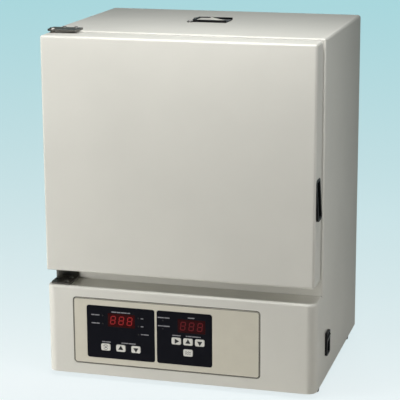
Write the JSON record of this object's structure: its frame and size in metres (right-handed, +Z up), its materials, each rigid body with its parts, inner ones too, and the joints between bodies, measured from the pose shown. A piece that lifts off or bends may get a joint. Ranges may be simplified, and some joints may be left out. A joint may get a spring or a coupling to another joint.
{
  "type": "dry heat sterilizer",
  "caption": "Bench hot-air oven with a side-hinged insulated door over a control base with digital displays, keys, exhaust shutter and wire shelves.",
  "frame": {"origin": "on the bench, under the middle of the casing", "axes": "+X right seen from the front, +Y towards the back, +Z up"},
  "size_m": [0.4558, 0.3685, 0.5735],
  "materials": {
    "cream_paint": "semi-gloss baked enamel",
    "stainless_sheet": "fine brushed",
    "stainless_wire": "electropolished wire",
    "zinc_sheet": "zinc-plated",
    "bright_steel": "satin plated",
    "screw_steel": "bright plated",
    "black_plastic": "fine moulded texture",
    "rocker_plastic": "satin",
    "foot_rubber": "matt",
    "overlay_film": "satin film",
    "window_film": "glossy film",
    "bright_display": "red filter",
    "dim_display": "red filter",
    "lamp_lens": "clear lens",
    "key_plastic": "satin embossed film",
    "mineral_wool": "loose fibre",
    "silicone_seal": "moulded silicone",
    "heater_sheath": "oxidised",
    "silicone_lead": "matt",
    "circuit_board": "solder mask",
    "bronze_bush": "oil-filled",
    "ferrite": "sintered",
    "transformer_core": "varnished laminations",
    "relay_case": "satin",
    "sink_aluminium": "extruded",
    "terminal_plastic": "moulded"
  },
  "bodies": {
    "cabinet": {"casing_shell": "cream_paint", "base_front_panel": "cream_paint", "front_frame": "cream_paint", "back_panel": "cream_paint", "bottom_plate": "zinc_sheet", "deck_plate": "zinc_sheet", "feet": "foot_rubber", "chamber_liner": "stainless_sheet", "chamber_insulation": "mineral_wool", "shelf_rails": "stainless_wire", "floor_plate": "stainless_sheet", "heater_elements": "heater_sheath", "heater_leads": "silicone_lead", "temperature_probe": "bright_steel", "overheat_thermostat": "black_plastic", "exhaust_duct": "zinc_sheet", "vent_frame": "black_plastic", "control_carrier": "black_plastic", "overlay_plate": "overlay_film", "display_windows": "window_film", "temperature_display": "bright_display", "timer_display": "dim_display", "indicator_lamps": "lamp_lens", "control_board": "circuit_board", "board_standoffs": "bright_steel", "key_switches": "black_plastic", "switch_bezel": "black_plastic", "transformer": "transformer_core", "solid_state_relay": "relay_case", "relay_heat_sink": "sink_aluminium", "terminal_block": "terminal_plastic", "fuse_holder": "black_plastic", "cable_gland": "black_plastic", "gland_nut": "black_plastic", "hinge_bracket_top": "bright_steel", "hinge_bracket_bottom": "bright_steel", "hinge_pins": "bright_steel", "bracket_screws": "screw_steel", "back_screws": "screw_steel", "catch_magnets": "ferrite"},
    "door": {"door_skin": "cream_paint", "door_inner_panel": "stainless_sheet", "door_insulation": "mineral_wool", "door_gasket": "silicone_seal", "handle_grip": "black_plastic", "hinge_bushes": "bronze_bush", "strike_plates": "bright_steel", "door_screws": "screw_steel"},
    "vent_slider": {"vent_slider": "cream_paint"},
    "switch_rocker": {"switch_rocker": "rocker_plastic"},
    "shelf_upper": {"shelf_upper": "stainless_wire"},
    "shelf_lower": {"shelf_lower": "stainless_wire"},
    "run_key": {"run_key": "key_plastic"},
    "heat_up_key": {"heat_up_key": "key_plastic"},
    "heat_down_key": {"heat_down_key": "key_plastic"},
    "select_key": {"select_key": "key_plastic"},
    "time_up_key": {"time_up_key": "key_plastic"},
    "time_down_key": {"time_down_key": "key_plastic"},
    "program_key": {"program_key": "key_plastic"}
  },
  "joints": [
    {"name": "door_swing", "type": "hinge", "parent": "cabinet", "child": "door", "pos_m": [-0.215, -0.144, 0.373], "axis": [0, 0, -1], "range_deg": [0, 110]},
    {"name": "shutter_slide", "type": "slide", "parent": "cabinet", "child": "vent_slider", "axis": [1, 0, 0], "range_m": [0, 0.028]},
    {"name": "switch_rock", "type": "hinge", "parent": "cabinet", "child": "switch_rocker", "pos_m": [0.2215, -0.093, 0.0665], "axis": [0, -1, 0], "range_deg": [0, 22]},
    {"name": "upper_shelf_slide", "type": "slide", "parent": "cabinet", "child": "shelf_upper", "axis": [0, -1, 0], "range_m": [0, 0.012]},
    {"name": "lower_shelf_slide", "type": "slide", "parent": "cabinet", "child": "shelf_lower", "axis": [0, -1, 0], "range_m": [0, 0.012]},
    {"name": "run_key_press", "type": "slide", "parent": "cabinet", "child": "run_key", "axis": [0, 1, 0], "range_m": [0, 0.0005], "stiffness_N_per_m": 600},
    {"name": "heat_up_key_press", "type": "slide", "parent": "cabinet", "child": "heat_up_key", "axis": [0, 1, 0], "range_m": [0, 0.0005], "stiffness_N_per_m": 600},
    {"name": "heat_down_key_press", "type": "slide", "parent": "cabinet", "child": "heat_down_key", "axis": [0, 1, 0], "range_m": [0, 0.0005], "stiffness_N_per_m": 600},
    {"name": "select_key_press", "type": "slide", "parent": "cabinet", "child": "select_key", "axis": [0, 1, 0], "range_m": [0, 0.0005], "stiffness_N_per_m": 600},
    {"name": "time_up_key_press", "type": "slide", "parent": "cabinet", "child": "time_up_key", "axis": [0, 1, 0], "range_m": [0, 0.0005], "stiffness_N_per_m": 600},
    {"name": "time_down_key_press", "type": "slide", "parent": "cabinet", "child": "time_down_key", "axis": [0, 1, 0], "range_m": [0, 0.0005], "stiffness_N_per_m": 600},
    {"name": "program_key_press", "type": "slide", "parent": "cabinet", "child": "program_key", "axis": [0, 1, 0], "range_m": [0, 0.0005], "stiffness_N_per_m": 600}
  ]
}
